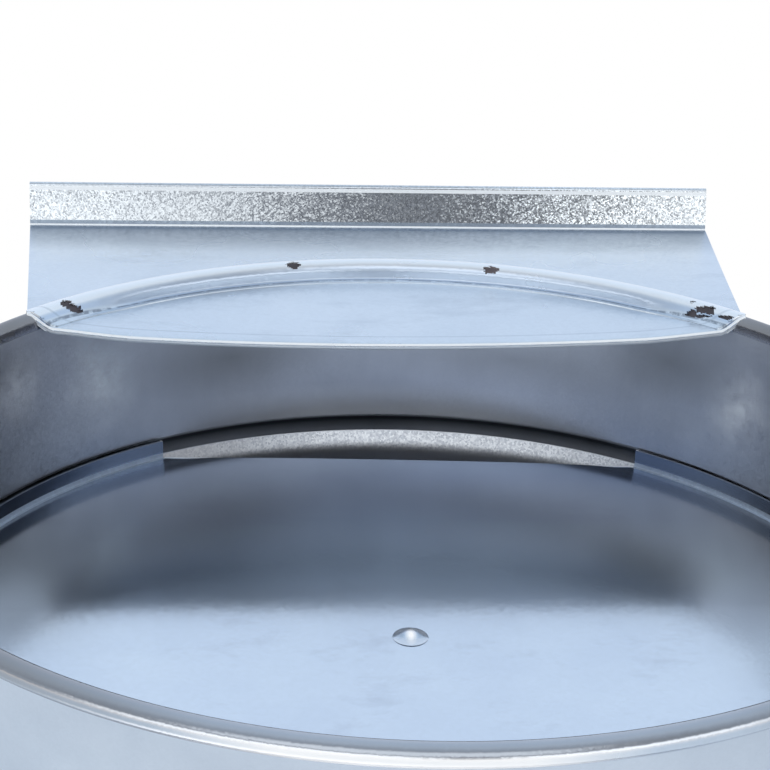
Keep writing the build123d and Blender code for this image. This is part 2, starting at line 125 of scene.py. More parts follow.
tongue_rim = plate_mid - TONGUE_STEP
tongue_bend_r = (flank_r + PLATE_FRONT_Y) / (2 * TONGUE_SLOPE)

PAN_BASE_R = 172.0 * MM
PAN_RING = 11.0 * MM
PAN_RAISE = 3.0 * MM
RAISE_RUN = 5.0 * MM
pan_wire_lo, pan_wire_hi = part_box("pan_rim_wire")
pan_rim_r = pan_wire_hi.x - wire_r
pan_rim_z = (pan_wire_hi.z + pan_wire_lo.z) / 2


# ---- mesh helpers
def new_object(name, verts, faces, body, material):
    """Mesh object that rides on a body and wears a material."""
    mesh = bpy.data.meshes.new(name)
    mesh.from_pydata([tuple(v) for v in verts], [], faces)
    obj = bpy.data.objects.new(name, mesh)
    bpy.context.scene.collection.objects.link(obj)
    tidy_mesh(mesh)
    mesh.materials.append(material)
    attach(obj, body)
    return obj


def tidy_mesh(mesh, merge=1e-6, angle=32.0):
    """Merge doubles, point the normals outwards, smooth all but the sharp edges."""
    work = bmesh.new()
    work.from_mesh(mesh)
    bmesh.ops.remove_doubles(work, verts=work.verts, dist=merge)
    bmesh.ops.recalc_face_normals(work, faces=work.faces)
    work.to_mesh(mesh)
    work.free()
    mesh.polygons.foreach_set("use_smooth", [True] * len(mesh.polygons))
    mesh.set_sharp_from_angle(angle=math.radians(angle))


def bend_path(points, radii, steps=6):
    """Polyline whose inner corners are rounded, with one radius per corner."""
    pts = [Vector(p) for p in points]
    path = [pts[0]]
    for before, corner, after, radius in zip(pts, pts[1:], pts[2:], radii):
        into = (corner - before).normalized()
        out = (after - corner).normalized()
        turn = into.angle(out)
        if turn < 0.01:
            path.append(corner)
            continue
        reach = radius * math.tan(turn / 2)
        reach = min(reach, (corner - before).length * 0.49, (after - corner).length * 0.49)
        start, end = corner - into * reach, corner + out * reach
        for i in range(steps + 1):
            t = i / steps
            path.append(start.lerp(corner, t).lerp(corner.lerp(end, t), t))
    path.append(pts[-1])
    return path


def subdivide(path, longest):
    """Add points so that no run is longer than longest."""
    out = [path[0]]
    for a, b in zip(path, path[1:]):
        count = max(1, math.ceil((b - a).length / longest))
        out += [a.lerp(b, (i + 1) / count) for i in range(count)]
    return out


def thicken(path):
    """Closed section of a sheet: its mid-line offset to both sides."""
    sides = [[], []]
    for i, point in enumerate(path):
        a = path[max(i - 1, 0)]
        b = path[min(i + 1, len(path) - 1)]
        along = (b - a).normalized()
        normal = Vector((-along.y, along.x))
        sides[0].append(point + normal * HALF)
        sides[1].append(point - normal * HALF)
    return sides[0] + sides[1][::-1]


def turn_section(section, centre=(0.0, 0.0), turns=TURNS):
    """Vertices and faces of a closed section turned about an upright axis."""
    count = len(section)
    verts = []
    for k in range(turns):
        a = 2 * math.pi * k / turns
        verts += [(centre[0] + p.x * math.cos(a), centre[1] + p.x * math.sin(a), p.y) for p in section]
    faces = []
    for k in range(turns):
        here, there = k * count, (k + 1) % turns * count
        for i in range(count):
            j = (i + 1) % count
            faces.append((here + i, there + i, there + j, here + j))
    return verts, faces


def curl_path(centre_r, centre_z, start=180.0, end=-122.0, steps=40):
    """Mid-line of a sheet rolled outwards over its wire."""
    radius = curl_in + HALF
    path = []
    for i in range(steps + 1):
        a = math.radians(start + (end - start) * i / steps)
        path.append(Vector((centre_r + radius * math.cos(a), centre_z + radius * math.sin(a))))
    return path


# ---- materials
class Tree:
    """Short calls for building a node tree."""

    def __init__(self, tree):
        self.tree = tree

    def add(self, kind, **settings):
        node = self.tree.nodes.new(kind)
        for key, value in settings.items():
            setattr(node, key, value)
        return node

    def link(self, out, socket):
        self.tree.links.new(out, socket)

    def put(self, value, socket):
        """Set a socket to a number or a colour, or link an output to it."""
        if isinstance(value, tuple):
            socket.default_value = (*value, 1.0)
        elif isinstance(value, (int, float)):
            socket.default_value = value
        else:
            self.link(value, socket)

    def split(self, vector):
        node = self.add("ShaderNodeSeparateXYZ")
        self.link(vector, node.inputs["Vector"])
        return node.outputs["X"], node.outputs["Y"], node.outputs["Z"]

    def ramp(self, value, low, high, to_low=0.0, to_high=1.0, smooth=False):
        node = self.add("ShaderNodeMapRange", interpolation_type="SMOOTHSTEP" if smooth else "LINEAR")
        node.inputs["From Min"].default_value = low
        node.inputs["From Max"].default_value = high
        node.inputs["To Min"].default_value = to_low
        node.inputs["To Max"].default_value = to_high
        self.link(value, node.inputs["Value"])
        return node.outputs["Result"]

    def math(self, operation, a, b=0.0):
        node = self.add("ShaderNodeMath", operation=operation)
        self.put(a, node.inputs[0])
        self.put(b, node.inputs[1])
        return node.outputs["Value"]

    def times(self, first, *others):
        for other in others:
            first = self.math("MULTIPLY", first, other)
        return first

    def band(self, value, begins, full, fades, ends):
        """0, rising to 1 between begins and full, back to 0 between fades and ends."""
        return self.times(self.ramp(value, begins, full), self.ramp(value, fades, ends, 1.0, 0.0))

    def away(self, value, middle=0.0):
        """Distance of a value from its middle."""
        return self.math("ABSOLUTE", self.math("SUBTRACT", value, middle))

    def blend(self, factor, a, b):
        node = self.add("ShaderNodeMix", data_type="RGBA")
        self.put(factor, node.inputs["Factor"])
        self.put(a, node.inputs["A"])
        self.put(b, node.inputs["B"])
        return node.outputs["Result"]


class Surface(Tree):
    """A material, with its shader, and the place and the facing of the point in the body's own frame."""

    def __init__(self, name):
        self.material = bpy.data.materials.new(name)
        self.material.use_nodes = True
        super().__init__(self.material.node_tree)
        self.shader = self.tree.nodes["Principled BSDF"]
        coordinates = self.add("ShaderNodeTexCoord")
        self.place, self.normal = coordinates.outputs["Object"], coordinates.outputs["Normal"]
        self.x, self.y, self.z = self.split(self.place)

    def noise(self, scale, detail=2.0, rough=0.5, stretch=(1, 1, 1)):
        mapping = self.add("ShaderNodeMapping")
        mapping.inputs["Scale"].default_value = stretch
        self.link(self.place, mapping.inputs["Vector"])
        node = self.add("ShaderNodeTexNoise")
        node.inputs["Scale"].default_value = scale
        node.inputs["Detail"].default_value = detail
        node.inputs["Roughness"].default_value = rough
        self.link(mapping.outputs["Vector"], node.inputs["Vector"])
        return node.outputs["Fac"]

    def cells(self, scale):
        """A colour for every crystal."""
        node = self.add("ShaderNodeTexVoronoi", feature="F1")
        node.inputs["Scale"].default_value = scale
        self.link(self.place, node.inputs["Vector"])
        return node.outputs["Color"]

    def radius(self):
        """Distance from the tube's axis."""
        return self.math("SQRT", self.math("ADD", self.times(self.x, self.x), self.times(self.y, self.y)))

    def line(self, distance, solid, gone, strength=1.0):
        """A line that is solid up to one distance from its middle and gone at another."""
        return self.ramp(distance, solid, gone, strength, 0.0)

    def spot(self, across, up, middle, reach):
        """1 at the middle of an oval patch, falling to 0 at its edge."""
        a = self.math("DIVIDE", self.math("SUBTRACT", across, middle[0]), reach[0])
        b = self.math("DIVIDE", self.math("SUBTRACT", up, middle[1]), reach[1])
        away = self.math("ADD", self.times(a, a), self.times(b, b))
        return self.ramp(self.math("SQRT", away), 0.0, 1.0, 1.0, 0.0)

    def facing_out(self):
        """Positive where the surface faces away from the tube's axis."""
        across, along, _ = self.split(self.normal)
        return self.math("ADD", self.times(self.x, across), self.times(self.y, along))

    def facets(self, colour, tilt, normal):
        """Lean the normal a little, differently in every crystal."""
        middle = self.add("ShaderNodeVectorMath", operation="SUBTRACT")
        self.link(colour, middle.inputs[0])
        middle.inputs[1].default_value = (0.5, 0.5, 0.5)
        lean = self.add("ShaderNodeVectorMath", operation="SCALE")
        self.link(middle.outputs["Vector"], lean.inputs[0])
        lean.inputs["Scale"].default_value = tilt
        total = self.add("ShaderNodeVectorMath", operation="ADD")
        self.link(normal, total.inputs[0])
        self.link(lean.outputs["Vector"], total.inputs[1])
        unit = self.add("ShaderNodeVectorMath", operation="NORMALIZE")
        self.link(total.outputs["Vector"], unit.inputs[0])
        return unit.outputs["Vector"]

    def bump(self, height, strength, distance):
        node = self.add("ShaderNodeBump")
        node.inputs["Strength"].default_value = strength
        node.inputs["Distance"].default_value = distance
        self.link(height, node.inputs["Height"])
        return node.outputs["Normal"]


def galvanised(name, pale, dark, rough, spangle=0.25, tilt=0.03, wave=0.25, grain=1100.0, tone=None, polish=None):
    """Zinc-coated sheet: fine tilted crystals, mottling and slow waves, rubbed smooth above the polish height."""
    n = Surface(name)
    crystals = n.cells(grain)
    parts = n.add("ShaderNodeSeparateColor")
    n.link(crystals, parts.inputs["Color"])
    n.sparkle = parts.outputs["Green"]
    mottle = n.ramp(n.noise(22.0, 4.0, 0.6), 0.3, 0.7)
    colour = n.blend(mottle, dark, pale)
    cell = n.ramp(parts.outputs["Red"], 0.0, 1.0, 1.0 - spangle, 1.0)
    colour = n.blend(cell, tuple(0.6 * c for c in pale), colour)
    n.link(tone(n, colour) if tone else colour, n.shader.inputs["Base Color"])
    patch = n.ramp(n.noise(14.0, 3.0, 0.55), 0.3, 0.7, rough * 0.88, rough * 1.14)
    if polish:
        patch = n.times(patch, n.ramp(n.z, polish - 0.6 * MM, polish, 1.0, 0.5))
    n.link(patch, n.shader.inputs["Roughness"])
    waves = n.bump(n.noise(9.0, 1.0), wave, 0.004)
    n.link(n.facets(crystals, tilt, waves), n.shader.inputs["Normal"])
    n.shader.inputs["Metallic"].default_value = 1.0
    return n.material


def plain_zinc(name, colour, rough):
    """Plated hardware: bright, with a fine rolled grain."""
    n = Surface(name)
    grain = n.ramp(n.noise(240.0, 4.0, 0.6), 0.3, 0.7)
    n.link(n.blend(grain, tuple(0.8 * c for c in colour), colour), n.shader.inputs["Base Color"])
    n.link(n.ramp(n.noise(90.0, 3.0), 0.3, 0.7, rough * 0.75, rough * 1.3), n.shader.inputs["Roughness"])
    n.link(n.bump(n.noise(700.0, 2.0), 0.15, 0.0002), n.shader.inputs["Normal"])
    n.shader.inputs["Metallic"].default_value = 1.0
    return n.material


# Painted shade of the plate (its shadow and dark reflection) on the inside of the wall, as seen from the front:
# sideways place, depth below the mouth, half width, half height (mm), strength, shade.
PLATE_SHADE_PATCHES = ((-45, 25, 34, 13, 0.75, 0.34), (84, 17, 20, 13, 0.7, 0.34), (-108, 10, 12, 9, 0.5, 0.35),
                (42, 26, 46, 11, 0.5, 0.34))
# Pale oxide on the same wall, without a shade of its own.
WALL_BLOOMS = ((-82, 24, 11, 17, 1.0), (-86, 14, 5, 9, 0.7), (-103, 16, 6, 14, 0.6), (101, 25, 9, 15, 0.8),
               (91, 36, 4, 5, 0.3))

WHITE = (1.0, 1.0, 1.0)
# Tones of the tube.
CLOUD = (0.97, 0.98, 1.0)
INSIDE_TINT = (0.78, 0.74, 0.72)
SMOKE = (0.46, 0.47, 0.50)
OXIDE = (0.80, 0.89, 0.96)
GROOVE_SHADE = (0.03, 0.035, 0.04)
SLOPE_DULL = (0.64, 0.65, 0.68)
SLOPE_BEIGE = (0.86, 0.80, 0.76)
RIM_TOP_SHADE = (0.40, 0.42, 0.45)
RIM_BROWN = (0.27, 0.25, 0.24)
RIM_SHADE = (0.10, 0.10, 0.13)
# Tones of the plate and its upstand.
HANDLING = (0.42, 0.47, 0.53)
UPSTAND_REFLECTION = (0.28, 0.34, 0.42)
FLANK_SHADE = (0.62, 0.71, 0.84)
CREASE_SHADE = (0.36, 0.41, 0.48)
BEND_SHADE = (0.26, 0.29, 0.34)
FOLD_GREY = (0.36, 0.41, 0.47)
ROOM_REFLECTION = (0.20, 0.22, 0.27)
# Tones of the disc and its rivet.
RUBBED = (0.44, 0.46, 0.52)
BACK_BLUE = (0.33, 0.42, 0.60)
MIDDLE_PALE = (0.90, 0.97, 1.0)
SIDE_GREY = (0.33, 0.33, 0.34)
COLLAR_SHADE = (0.27, 0.30, 0.36)
CHEEK_SHADE = (0.36, 0.42, 0.50)
HEAD_FRONT_LIGHT = (0.56, 0.66, 0.80)
HEAD_SHADOW = (0.22, 0.27, 0.35)


def wall_spot(n, across, below, reach_x, reach_z):
    """Oval patch on the tube's wall, in millimetres sideways and below the mouth."""
    return n.spot(n.x, n.z, (across * MM, mouth_z - below * MM), (reach_x * MM, reach_z * MM))


def hopper_tone(n, colour):
    """Weathered wall inside the tube with painted shade of the plate and a painted pale band above the lip, painted
    shade in the groove and crystals painted bright on the slope below it, and a rim with a painted highlight, painted
    shade and brown sides.
    """
    inner = n.math("LESS_THAN", n.facing_out(), 0)
    rear = n.times(inner, n.math("GREATER_THAN", n.y, 0))
    front = n.math("LESS_THAN", n.y, 0)
    outer_rim = n.math("GREATER_THAN", n.radius(), mouth_r)

    # clouds and smoke on the sheet, and painted shade of the plate on the rear wall
    cloud = n.ramp(n.noise(17.0, 4.0, 0.6, (1, 1, 0.7)), 0.5, 0.72, 0.0, 0.3)
    colour = n.blend(cloud, colour, CLOUD)
    colour = n.blend(n.times(inner, 0.35), colour, INSIDE_TINT)
    smoke = n.ramp(n.noise(34.0, 5.0, 0.65, (1, 1, 0.45)), 0.46, 0.72, 0.0, 0.30)
    colour = n.blend(n.times(smoke, inner), colour, SMOKE)
    # painted shade: dark patches where the plate's shadow and dark reflection fall on the rear wall
    for across, below, reach_x, reach_z, strength, shade in PLATE_SHADE_PATCHES:
        patch = n.times(wall_spot(n, across, below, reach_x, reach_z), rear, strength)
        colour = n.blend(patch, colour, (shade, shade, shade))

    # painted light: a pale band above the lip and a painted highlight on the outside of the front rim; these and the
    # oxide are dull as well
    above_lip = n.times(n.ramp(n.z, lip_z - 0.4 * MM, lip_z + 0.2 * MM), n.ramp(n.z, lip_z, lip_z + 11 * MM, 0.9, 0.0),
                        n.line(n.away(n.x, 6 * MM), 25 * MM, 65 * MM), rear)
    colour = n.blend(above_lip, colour, WHITE)
    bloom = 0.0
    for across, below, reach_x, reach_z, strength in WALL_BLOOMS:
        patch = n.times(wall_spot(n, across, below, reach_x, reach_z), inner, strength)
        bloom = n.math("ADD", bloom, patch)
    bloom = n.times(bloom, n.ramp(n.noise(90.0, 5.0, 0.7), 0.32, 0.66), rear)
    # painted highlight: a dull white band on the outside of the front rim
    rim_highlight = n.times(n.band(n.z, mouth_z - 1.9 * MM, mouth_z - 1.3 * MM, mouth_z + 0.5 * MM, mouth_z + 1.1 * MM),
                   n.line(n.away(n.x, -13 * MM), 22 * MM, 44 * MM, 0.8), outer_rim, front)
    colour = n.blend(rim_highlight, colour, WHITE)
    dull = n.math("MAXIMUM", n.math("MAXIMUM", bloom, rim_highlight), n.times(above_lip, 0.35))
    n.link(n.ramp(dull, 0.0, 1.0, 1.0, 0.0), n.shader.inputs["Metallic"])
    colour = n.blend(bloom, colour, OXIDE)

    # painted shade in the groove, and a painted highlight of bright crystals on the slope below it
    groove = n.band(n.z, crease_z - 0.1 * MM, crease_z + 0.5 * MM, groove_top - 0.7 * MM, groove_top - 0.2 * MM)
    depth = n.ramp(n.z, crease_z + 0.9 * MM, crease_z + 4.0 * MM, 0.0, 0.93)
    colour = n.blend(n.times(groove, depth, inner), colour, GROOVE_SHADE)
    # painted highlight: crystals painted white on the slope under the groove, beige and weaker at the left
    slope_highlight = n.blend(n.ramp(n.sparkle, 0.1, 0.9), SLOPE_DULL, WHITE)
    slope_highlight = n.blend(n.ramp(n.x, -75 * MM, -35 * MM, 0.85, 0.0), slope_highlight, SLOPE_BEIGE)
    slope = n.band(n.z, groove_foot - 1.5 * MM, groove_foot + 1.6 * MM, crease_z - 0.2 * MM, crease_z)
    colour = n.blend(n.times(slope, inner), colour, slope_highlight)

    # rolled rim: painted shade on its crown in front, brown sides, painted shade under its left
    painted_crown = n.times(n.ramp(n.z, mouth_z + 0.6 * MM, mouth_z + 1.3 * MM, 0.0, 0.7), front)
    colour = n.blend(painted_crown, colour, RIM_TOP_SHADE)
    sides = n.times(n.ramp(n.z, mouth_z - 2.5 * MM, mouth_z - 0.5 * MM),
                    n.ramp(n.away(n.x), 45 * MM, 105 * MM, 0.0, 0.9))
    colour = n.blend(sides, colour, RIM_BROWN)
    under = n.times(n.band(n.z, mouth_z - 2.8 * MM, mouth_z - 2.4 * MM, mouth_z - 1.6 * MM, mouth_z - 0.9 * MM),
                    n.ramp(n.x, -55 * MM, -20 * MM, 0.85, 0.0), outer_rim)
    return n.blend(under, colour, RIM_SHADE)


def plate_tone(n, colour):
    """Handling marks, a painted reflection of the upstand on the plate by it, the ridge's painted highlight and
    painted shade, and the line of the folded hem.
    """
    r = n.radius()
    marks = n.ramp(n.noise(70.0, 6.0, 0.7, (0.35, 1, 1)), 0.52, 0.66, 0.0, 0.22)
    colour = n.blend(marks, colour, HANDLING)
    # painted reflection of the upstand, darker towards it
    near = n.ramp(n.y, PLATE_REAR_Y - 26 * MM, PLATE_REAR_Y - 2 * MM, 0.0, 0.85)
    colour = n.blend(near, colour, UPSTAND_REFLECTION)
    # painted highlight: a white band along the crest of the ridge
    colour = n.blend(n.line(n.away(r, mouth_r), 2.2 * MM, 3.0 * MM), colour, WHITE)
    # painted shade on the ridge's inner flank, bluish
    flank = n.times(n.ramp(r, flank_r - 0.1 * MM, flank_r + 0.5 * MM, 0.8, 0.0),
                    n.ramp(r, flank_r - 1.0 * MM, flank_r - 0.6 * MM))
    colour = n.blend(flank, colour, FLANK_SHADE)
    # painted shade in the crease at the ridge's outer foot
    crease = n.line(n.away(r, mouth_r + ridge_mid + 0.9 * MM), 0.4 * MM, 0.9 * MM, 0.8)
    colour = n.blend(crease, colour, CREASE_SHADE)
    # painted shade, broken up, in the bend at the foot of the flank
    bend = n.line(n.away(r, flank_r - 1.5 * MM), 0.25 * MM, 0.5 * MM, 0.85)
    broken = n.ramp(n.noise(420.0, 3.0, 0.6), 0.38, 0.54)
    colour = n.blend(n.times(bend, broken), colour, BEND_SHADE)
    fold = n.line(n.away(n.y, PLATE_FRONT_Y + HEM_WIDTH), 0.12 * MM, 0.5 * MM, 0.3)
    return n.blend(fold, colour, FOLD_GREY)


def strip_tone(n, colour):
    """Upstand with a painted reflection of a darker room in its middle."""
    return n.blend(n.line(n.away(n.x, -30 * MM), 40 * MM, 85 * MM, 0.22), colour, ROOM_REFLECTION)


def gate_tone(n, colour):
    """Rubbed marks, the disc darker and bluer towards its back with a pale band across its middle, darker sides, and
    painted shade on its turned-up collar.
    """
    rubs = n.ramp(n.noise(65.0, 6.0, 0.7, (0.6, 1, 1)), 0.55, 0.70, 0.0, 0.25)
    colour = n.blend(rubs, colour, RUBBED)
    # darker and bluer towards the back of the disc
    towards_back = n.times(n.ramp(n.y, 35 * MM, 90 * MM, 0.0, 0.95), n.ramp(n.x, -50 * MM, 20 * MM, 0.6, 1.0))
    colour = n.blend(towards_back, colour, BACK_BLUE)
    # a pale band across the middle of the disc
    clear = n.times(n.ramp(n.y, 14 * MM, 26 * MM, 0.0, 0.75), n.ramp(n.y, 38 * MM, 62 * MM, 1.0, 0.0))
    colour = n.blend(clear, colour, MIDDLE_PALE)
    side = n.times(n.ramp(n.away(n.x), 72 * MM, 104 * MM, 0.0, 0.6), n.ramp(n.y, -12 * MM, 14 * MM),
                   n.ramp(n.x, -50 * MM, 50 * MM, 1.0, 1.5))
    colour = n.blend(side, colour, SIDE_GREY)
    # painted shade on the upper collar, dark and bluish
    high = n.ramp(n.z, gate_floor + 0.6 * MM, gate_floor + 2.2 * MM)
    return n.blend(high, colour, COLLAR_SHADE)


def rivet_tone(n, colour):
    """Painted highlight on the crown and front edge, painted shade on the cheeks, and a painted shadow round the far
    side of the head.
    """
    def oval(across, up, half_width, half_length):
        return n.spot(n.x, n.y, (GATE_SHIFT + across * MM, up * MM), (half_width * MM, half_length * MM))

    # painted highlight on the crown, less metallic
    painted_crown = n.ramp(oval(0.0, -1.5, 1.7, 3.0), 0.0, 0.8)
    edge = n.spot(n.x, n.y, (GATE_SHIFT, 0.0), (HEAD_R, HEAD_R))
    # painted light on the front edge of the head, less metallic
    front = n.times(n.ramp(edge, 0.1, 0.5, 1.0, 0.0), n.ramp(n.y, -2.4 * MM, -0.6 * MM, 1.0, 0.0))
    n.link(n.ramp(n.math("MAXIMUM", painted_crown, front), 0.0, 1.0, 1.0, 0.2), n.shader.inputs["Metallic"])
    # painted shade on the two cheeks of the dome
    cheeks = n.math("ADD", oval(-2.4, -1.0, 1.3, 1.8), oval(2.4, -1.0, 1.5, 1.8))
    colour = n.blend(n.times(cheeks, 0.8), colour, CHEEK_SHADE)
    colour = n.blend(front, colour, HEAD_FRONT_LIGHT)
    colour = n.blend(painted_crown, colour, WHITE)
    # painted shadow round the far side of the head
    far_shadow = n.times(n.ramp(edge, 0.05, 0.28, 1.0, 0.0), n.ramp(n.y, -0.8 * MM, 1.0 * MM, 0.0, 0.7))
    return n.blend(far_shadow, colour, HEAD_SHADOW)


sheet_metal = galvanised("galvanised_sheet", (0.79, 0.82, 0.87), (0.70, 0.74, 0.80), 0.40, spangle=0.06, tilt=0.04)
hopper_metal = galvanised("galvanised_hopper", (0.79, 0.81, 0.86), (0.64, 0.67, 0.73), 0.36, spangle=0.08, tilt=0.05,
                          grain=1800.0, tone=hopper_tone, polish=mouth_z - 1.8 * MM)
gate_metal = galvanised("galvanised_gate", (0.79, 0.85, 0.91), (0.71, 0.77, 0.85), 0.17, spangle=0.06, tilt=0.009,
                        wave=0.04, tone=gate_tone)
plate_metal = galvanised("galvanised_plate", (0.80, 0.85, 0.90), (0.74, 0.80, 0.86), 0.27, spangle=0.10, tilt=0.06,
                         tone=plate_tone)
strip_metal = galvanised("galvanised_strip", (0.92, 0.95, 0.97), (0.84, 0.88, 0.92), 0.12, spangle=0.7, tilt=0.065,
                         wave=0.1, grain=2300.0, tone=strip_tone)
bend_metal = galvanised("galvanised_bend", (0.74, 0.80, 0.88), (0.66, 0.73, 0.82), 0.5)
# pale zinc: wear on the plate's folds and bends, and a painted highlight on the gate's cut edges
worn_and_highlight_metal = galvanised("worn_zinc_and_highlight", (0.95, 0.98, 1.0), (0.90, 0.94, 0.98), 0.40, spangle=0.05, tilt=0.05)
worn_and_highlight_metal.node_tree.nodes["Principled BSDF"].inputs["Metallic"].default_value = 0.45
strap_metal = galvanised("galvanised_strap", (0.70, 0.74, 0.78), (0.64, 0.69, 0.73), 0.3, spangle=0.15)
shadow_metal = galvanised("clinch_shadow", (0.22, 0.18, 0.18), (0.07, 0.065, 0.07), 0.5)
head_metal = galvanised("gate_rivet_zinc", (0.74, 0.80, 0.87), (0.66, 0.72, 0.80), 0.22, spangle=0.04, tilt=0.01,
                        tone=rivet_tone)
wire_metal = plain_zinc("steel_wire", (0.42, 0.43, 0.45), 0.35)
rivet_metal = plain_zinc("rivet_zinc", (0.70, 0.75, 0.80), 0.2)
screw_metal = plain_zinc("screw_zinc", (0.66, 0.69, 0.72), 0.25)


# ---- hopper
def hopper_path():
    """Mid-line of the tube's sheet, from the folded lower edge to the rolled mouth."""
    r = wall_r + HALF
    folded = wall_r + 3 * HALF + 0.1 * MM
    points = [(folded, edge_z + HEM_HEIGHT), (folded, edge_z + HALF), (r, edge_z + HALF)]
    radii = [0.3 * MM, 0.3 * MM]
    for level in SWAGE_LEVELS:
        centre = edge_z + level
        for swell, offset in ((0, -0.5), (SWAGE_SWELL, -1 / 6), (SWAGE_SWELL, 1 / 6), (0, 0.5)):
            points.append((r + swell, centre + offset * SWAGE_HEIGHT))
            radii.append(2.0 * MM)
    points += [(r, groove_foot), (groove_r + HALF, crease_z), (groove_r + HALF, groove_top),
               (r, lip_z), (r, mouth_z)]
    radii += [9.8 * MM, 0.55 * MM, 0.7 * MM, 0.6 * MM]
    path = subdivide(bend_path(points, radii), LONGEST_RUN)
    return path[:-1] + curl_path(mouth_r, mouth_z)


def make_hopper():
    """The tube, turned from its sheet's mid-line."""
    verts, faces = turn_section(thicken(hopper_path()))
    shell = new_object("hopper_shell", verts, faces, "hopper", hopper_metal)
    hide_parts("hopper_tube")


def make_seam():
    """Grooved lock seam up the side of the tube, following the swages."""
    # the first points belong to the folded edge
    outline = [p for p in hopper_path()[10:] if p.y < groove_foot - SEAM_RISE]
    outline = [p for p in outline if p.y > edge_z + HEM_HEIGHT]
    cross = [(-0.5, -0.3), (-0.5, 0.55), (-0.44, 0.9), (-0.36, 1.0), (0.30, 1.0), (0.34, 0.82),
             (0.40, 0.8), (0.47, 0.55), (0.5, -0.3)]
    verts = []
    for p in outline:
        verts += [(p.x + HALF + h * SEAM_RISE, w * SEAM_WIDTH, p.y) for w, h in cross]
    count = len(cross)
    faces = []
    for k in range(len(outline) - 1):
        faces += [(k * count + i, (k + 1) * count + i, (k + 1) * count + i + 1, k * count + i + 1)
                  for i in range(count - 1)]
    faces += [tuple(range(count)), tuple(range(len(verts) - count, len(verts)))]
    new_object("lock_seam", verts, faces, "hopper", sheet_metal)


def make_lugs():
    """Round lugs pressed inwards to carry the gate disc."""
    tip = wall_r - LUG_REACH
    # radius and distance from the axis of each ring, from the wall to the tip
    lengths = [(LUG_R + 0.8 * MM, wall_r + 0.1 * MM), (LUG_R, wall_r - 1.0 * MM), (LUG_R, tip + 1.2 * MM),
               (LUG_R * 0.7, tip + 0.15 * MM), (1e-6, tip)]
    for number, angle in enumerate(LUG_ANGLES, start=1):
        a = math.radians(angle)
        out, side = Vector((math.cos(a), math.sin(a), 0)), Vector((-math.sin(a), math.cos(a), 0))
        rings = [[out * reach + side * radius * math.cos(t) + Vector((0, 0, lug_z + radius * math.sin(t)))
                  for t in (2 * math.pi * k / 32 for k in range(32))] for radius, reach in lengths]
        verts, faces = grid_faces(rings, closed=True)
        new_object(f"lug_{number}", verts, faces, "hopper", sheet_metal)


# ---- gate disc
def make_gate():
    """Disc with a turned-up collar, cut straight across where feed is poured in."""
    inner = GATE_R - HALF
    bend = GATE_CORNER
    path = [Vector((max((inner - bend) * i / 47, SPECK), gate_floor - HALF)) for i in range(48)]
    corner = [path[-1], Vector((inner, gate_floor - HALF)), Vector((inner, gate_floor + GATE_COLLAR))]
    path = path[:-1] + subdivide(bend_path(corner, [bend]), 1.5 * MM)
    verts, faces = turn_section(thicken(path))
    verts = [(x + GATE_SHIFT, y, z + gate_sag(x / inner, y / inner)) for x, y, z in verts]
    gate = new_object("gate_pan", verts, faces, "gate", gate_metal)
    cut = bmesh.new()
    cut.from_mesh(gate.data)
    geometry = cut.verts[:] + cut.edges[:] + cut.faces[:]
    normal = Vector((-math.sin(GATE_TURN), math.cos(GATE_TURN), 0))
    made = bmesh.ops.bisect_plane(cut, geom=geometry, plane_co=normal * GATE_CUT, plane_no=normal,
                                  clear_outer=True)
    edges = [e for e in made["geom_cut"] if isinstance(e, bmesh.types.BMEdge)]
    bmesh.ops.edgenet_fill(cut, edges=edges)
    cut.to_mesh(gate.data)
    cut.free()
    tidy_mesh(gate.data)
    gate.data.materials.append(bend_metal)
    for face in gate.data.polygons:
        x, y, z = face.center
        if math.hypot(x - GATE_SHIFT, y) > inner - bend and z < gate_floor + 1.1 * MM:
            face.material_index = 1
    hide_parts("gate_disc")
    make_cut_edges(normal)


def gate_sag(x, y):
    """Slight wave in the disc: a step across its middle that dies out at the collar."""
    away = min(math.hypot(x, y) / 0.965, 1.0)
    return GATE_SAG * math.tanh(y / 0.2) * (1 + 0.9 * x * x) * (1 - away ** 8)


def make_cut_edges(normal):
    """Sheared edges as thin rods with a painted highlight: along the straight cut, and up both ends of the collar."""
    along = Vector((normal.y, -normal.x, 0))
    reach = math.sqrt((GATE_R - HALF) ** 2 - GATE_CUT ** 2)
    shift = Vector((GATE_SHIFT, 0, 0))
    middle = normal * (GATE_CUT + 0.12 * MM) + shift
    thick, sides = HALF * 1.2, 10
    low, high = gate_floor - 0.15 * MM, gate_floor + GATE_COLLAR
    straight = along * (reach - 1 * MM)
    runs = [(middle - straight + Vector((0, 0, low)), middle + straight + Vector((0, 0, low)))]
    for side in (-1, 1):
        end = middle + along * side * reach
        runs.append((end + Vector((0, 0, low + 0.8 * MM)), end + Vector((0, 0, high))))
    verts, faces = [], []
    for a, b in runs:
        axis = (b - a).normalized()
        one = axis.orthogonal().normalized()
        two = axis.cross(one)
        angles = [2 * math.pi * k / sides for k in range(sides)]
        rings = [[p + one * thick * math.cos(t) + two * thick * math.sin(t) for t in angles] for p in (a, b)]
        rod_verts, rod_faces = grid_faces(rings, closed=True)
        rod_faces += [tuple(range(sides)), tuple(range(2 * sides - 1, sides - 1, -1))]
        k = len(verts)
        verts += rod_verts
        faces += [tuple(i + k for i in face) for face in rod_faces]
    new_object("gate_cut_edges", verts, faces, "gate", worn_and_highlight_metal)


